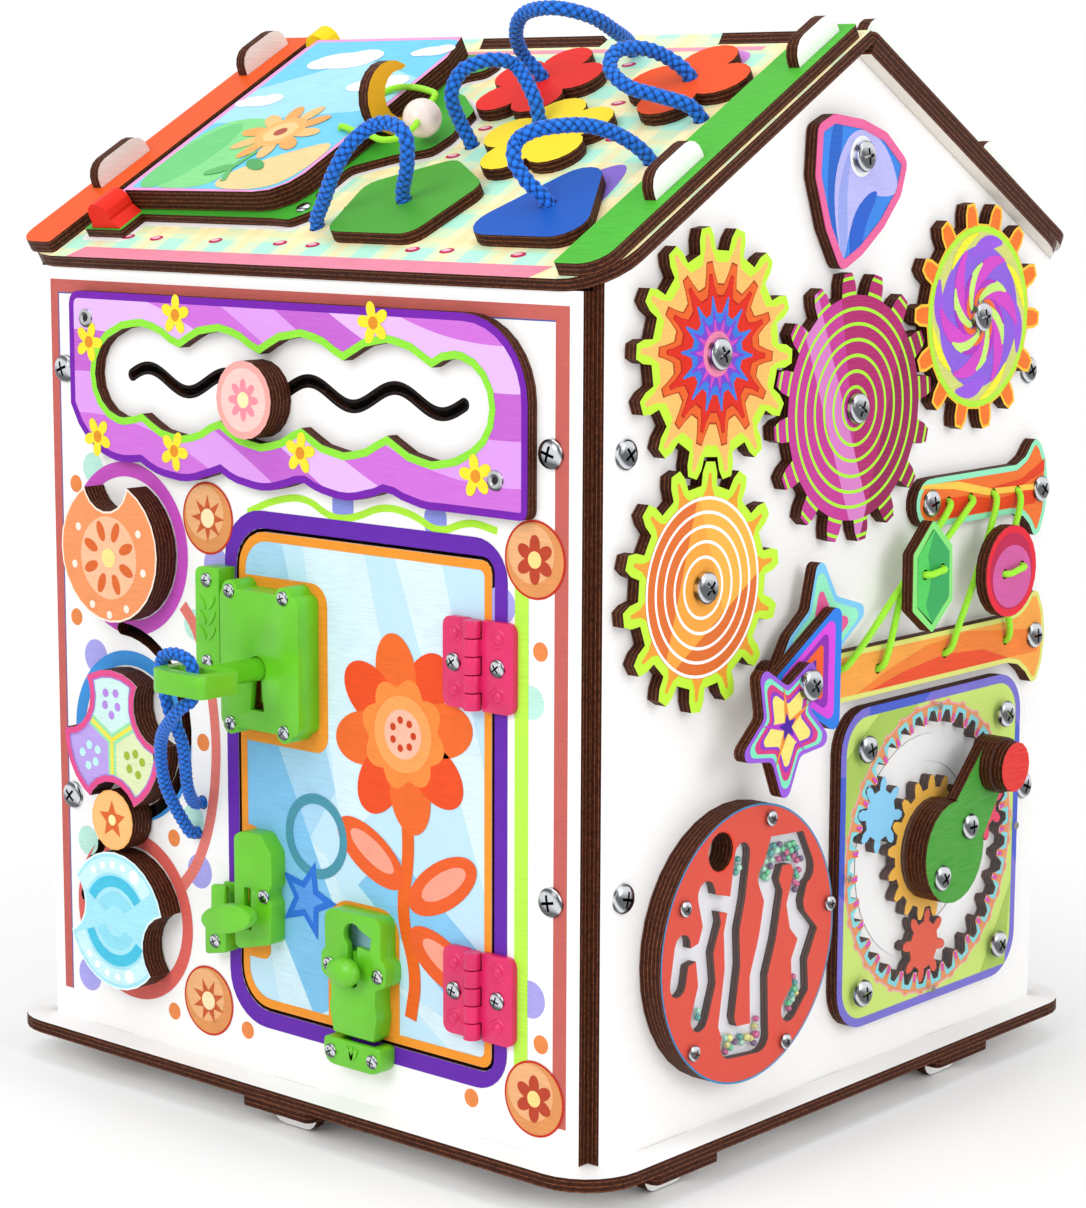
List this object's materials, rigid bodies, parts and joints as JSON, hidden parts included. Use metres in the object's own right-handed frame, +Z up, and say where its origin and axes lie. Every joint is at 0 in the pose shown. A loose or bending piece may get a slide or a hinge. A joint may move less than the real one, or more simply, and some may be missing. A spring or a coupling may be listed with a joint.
{
  "type": "house-shaped busy board",
  "caption": "Wooden activity house on a square base, with a locked door, sliding knobs, turning discs, a gear wall, a crank gearbox, a bead maze, lacing shapes and a roof flap.",
  "frame": {"origin": "centre of the underside of the square base plate, 15 mm above the surface that the leg tabs stand on", "axes": "+Z up, -Y out of the front wall with the door, +X out of the gable wall with the gears"},
  "size_m": [0.398, 0.429, 0.509],
  "materials": {
    "blue_board": "printed plywood, satin",
    "blue_knob": "printed wood, satin",
    "blue_rope": "braided cotton rope",
    "clear_cover": "clear moulded plastic sheet",
    "door_board": "printed plywood, satin",
    "gear_board": "printed plywood, satin",
    "green_plastic": "moulded plastic",
    "key_cord": "braided cotton rope",
    "lace": "round elastic lace",
    "lime_board": "printed plywood, satin",
    "magenta_board": "printed plywood, satin",
    "maze_board": "printed plywood, satin",
    "mint_board": "printed plywood, satin",
    "mint_knob": "printed wood, satin",
    "orange_knob": "printed wood, satin",
    "painted_board": "white lacquered plywood, satin",
    "pink_board": "printed plywood, satin",
    "pink_knob": "printed wood, satin",
    "pink_plastic": "moulded plastic",
    "purple_board": "printed plywood, satin",
    "red_board": "printed plywood, satin",
    "roof_board": "printed plywood, satin",
    "yellow_board": "printed plywood, satin"
  },
  "bodies": {
    "house": {"base_plate": "painted_board", "bolt_keeper": "green_plastic", "button_hexagon": "lime_board", "button_round": "red_board", "clover_orange": "gear_board", "flip_base": "painted_board", "flower_red": "red_board", "flower_yellow": "yellow_board", "gearbox_cover": "clear_cover", "gearbox_frame": "lime_board", "hinge_lower_wall_leaf": "pink_plastic", "hinge_upper_wall_leaf": "pink_plastic", "key_cord": "key_cord", "lace_bar_lower": "yellow_board", "lace_bar_upper": "mint_board", "lace_cord": "lace", "latch_keeper": "green_plastic", "maze_plate": "maze_board", "pentagon_green": "lime_board", "roof_back": "roof_board", "roof_front": "roof_board", "rope_blue": "blue_rope", "rope_green": "blue_rope", "rope_orange": "blue_rope", "rope_red": "blue_rope", "rope_yellow": "blue_rope", "triangle_blue": "blue_board", "wall_back": "painted_board", "wall_front": "painted_board", "wall_left": "painted_board", "wall_right": "painted_board"},
    "door": {"door": "door_board", "hinge_upper_door_leaf": "pink_plastic", "hinge_lower_door_leaf": "pink_plastic", "lock_case": "green_plastic", "latch_plate": "green_plastic", "bolt_case": "green_plastic"},
    "key": {"key": "green_plastic"},
    "turn_knob": {"turn_knob": "green_plastic"},
    "bolt_slider": {"bolt_slider": "green_plastic"},
    "maze_knob": {"maze_knob": "pink_knob"},
    "notch_disc_top": {"notch_disc_top": "orange_knob"},
    "notch_disc_middle": {"notch_disc_middle": "mint_knob"},
    "notch_disc_bottom": {"notch_disc_bottom": "blue_knob"},
    "runner_disc": {"runner_disc": "orange_knob"},
    "gear_centre": {"gear_centre": "magenta_board"},
    "gear_upper_left": {"gear_upper_left": "lime_board"},
    "gear_right": {"gear_right": "gear_board"},
    "gear_lower_left": {"gear_lower_left": "lime_board"},
    "petal_swinger": {"petal_swinger": "pink_board"},
    "star_blue": {"star_blue": "blue_board"},
    "triangle": {"triangle": "blue_board"},
    "star_purple": {"star_purple": "purple_board"},
    "bead_maze": {"bead_maze": "red_board"},
    "crank": {"crank_and_sun_gear": "yellow_board"},
    "planet_carrier": {"planet_carrier": "painted_board"},
    "planet_blue": {"planet_gear_blue": "blue_board"},
    "planet_red": {"planet_gear_red": "red_board"},
    "planet_pink": {"planet_gear_pink": "pink_board"},
    "flip_board": {"flip_board": "blue_board"}
  },
  "joints": [
    {"name": "door_hinge", "type": "hinge", "parent": "house", "child": "door", "pos_m": [0.11249, -0.1793, 0.15], "axis": [0, 0, 1], "range_deg": [0, 120], "deforming": ["key_cord"]},
    {"name": "key_turn", "type": "hinge", "parent": "door", "child": "key", "pos_m": [-0.01001, -0.175, 0.199], "axis": [0, -1, 0], "range_deg": [-90, 90], "deforming": ["key_cord"]},
    {"name": "latch_turn", "type": "hinge", "parent": "door", "child": "turn_knob", "pos_m": [-0.02201, -0.175, 0.0838], "axis": [0, -1, 0], "range_deg": [0, 90]},
    {"name": "bolt_slide", "type": "slide", "parent": "door", "child": "bolt_slider", "axis": [0, 0, 1], "range_m": [-0.0055, 0.009]},
    {"name": "maze_knob_slide", "type": "slide", "parent": "house", "child": "maze_knob", "axis": [-0.9272, 0, 0.3746], "range_m": [-0.003, 0.027]},
    {"name": "notch_disc_top_turn", "type": "hinge", "parent": "house", "child": "notch_disc_top", "pos_m": [-0.10899, -0.175, 0.24269], "axis": [0, -1, 0], "continuous": true},
    {"name": "notch_disc_middle_turn", "type": "hinge", "parent": "house", "child": "notch_disc_middle", "pos_m": [-0.10899, -0.175, 0.15299], "axis": [0, -1, 0], "range_deg": [0, 116]},
    {"name": "runner_travel", "type": "hinge", "parent": "house", "child": "runner_disc", "pos_m": [-0.11599, -0.175, 0.15899], "axis": [0, -1, 0], "range_deg": [0, 95.2]},
    {"name": "notch_disc_bottom_turn", "type": "hinge", "parent": "house", "child": "notch_disc_bottom", "pos_m": [-0.10899, -0.175, 0.06528], "axis": [0, -1, 0], "continuous": true},
    {"name": "gear_centre_turn", "type": "hinge", "parent": "house", "child": "gear_centre", "pos_m": [0.175, -0.00203, 0.31552], "axis": [1, 0, 0], "continuous": true},
    {"name": "gear_upper_left_turn", "type": "hinge", "parent": "house", "child": "gear_upper_left", "pos_m": [0.175, -0.10322, 0.34502], "axis": [1, 0, 0], "continuous": true},
    {"name": "gear_right_turn", "type": "hinge", "parent": "house", "child": "gear_right", "pos_m": [0.175, 0.09692, 0.35183], "axis": [1, 0, 0], "continuous": true},
    {"name": "gear_lower_left_turn", "type": "hinge", "parent": "house", "child": "gear_lower_left", "pos_m": [0.175, -0.11049, 0.24689], "axis": [1, 0, 0], "continuous": true},
    {"name": "petal_swing", "type": "hinge", "parent": "house", "child": "petal_swinger", "pos_m": [0.175, -0.00102, 0.42649], "axis": [1, 0, 0], "range_deg": [-75, 95]},
    {"name": "star_blue_turn", "type": "hinge", "parent": "house", "child": "star_blue", "pos_m": [0.175, -0.0588, 0.2003], "axis": [1, 0, 0], "range_deg": [-12, 95]},
    {"name": "triangle_turn", "type": "hinge", "parent": "house", "child": "triangle", "pos_m": [0.175, -0.0588, 0.2003], "axis": [1, 0, 0], "continuous": true},
    {"name": "star_purple_turn", "type": "hinge", "parent": "house", "child": "star_purple", "pos_m": [0.175, -0.0588, 0.2003], "axis": [1, 0, 0], "continuous": true},
    {"name": "bead_maze_turn", "type": "hinge", "parent": "house", "child": "bead_maze", "pos_m": [0.175, -0.08152, 0.08699], "axis": [1, 0, 0], "continuous": true},
    {"name": "crank_turn", "type": "hinge", "parent": "house", "child": "crank", "pos_m": [0.175, 0.06799, 0.10201], "axis": [1, 0, 0], "continuous": true},
    {"name": "planet_orbit", "type": "hinge", "parent": "house", "child": "planet_carrier", "pos_m": [0.175, 0.06799, 0.10201], "axis": [1, 0, 0], "continuous": true},
    {"name": "planet_blue_turn", "type": "hinge", "parent": "planet_carrier", "child": "planet_blue", "pos_m": [0.175, 0.02629, 0.12477], "axis": [1, 0, 0], "continuous": true},
    {"name": "planet_red_turn", "type": "hinge", "parent": "planet_carrier", "child": "planet_red", "pos_m": [0.175, 0.06515, 0.0546], "axis": [1, 0, 0], "continuous": true},
    {"name": "planet_pink_turn", "type": "hinge", "parent": "planet_carrier", "child": "planet_pink", "pos_m": [0.175, 0.11396, 0.11396], "axis": [1, 0, 0], "continuous": true},
    {"name": "flip_board_turn", "type": "hinge", "parent": "house", "child": "flip_board", "pos_m": [-0.13451, -0.08882, 0.44074], "axis": [0, -0.8704, -0.4924], "range_deg": [0, 150]}
  ],
  "couplings": [
    {"joint": "runner_travel", "follows": "notch_disc_middle_turn", "ratio": 0.82},
    {"joint": "gear_upper_left_turn", "follows": "gear_centre_turn", "ratio": -1.1429},
    {"joint": "gear_right_turn", "follows": "gear_centre_turn", "ratio": -1.1429},
    {"joint": "gear_lower_left_turn", "follows": "gear_centre_turn", "ratio": 1.1429},
    {"joint": "planet_orbit", "follows": "crank_turn", "ratio": 0.34},
    {"joint": "planet_blue_turn", "follows": "crank_turn", "ratio": -1.4025},
    {"joint": "planet_red_turn", "follows": "crank_turn", "ratio": -1.4025},
    {"joint": "planet_pink_turn", "follows": "crank_turn", "ratio": -1.4025}
  ]
}
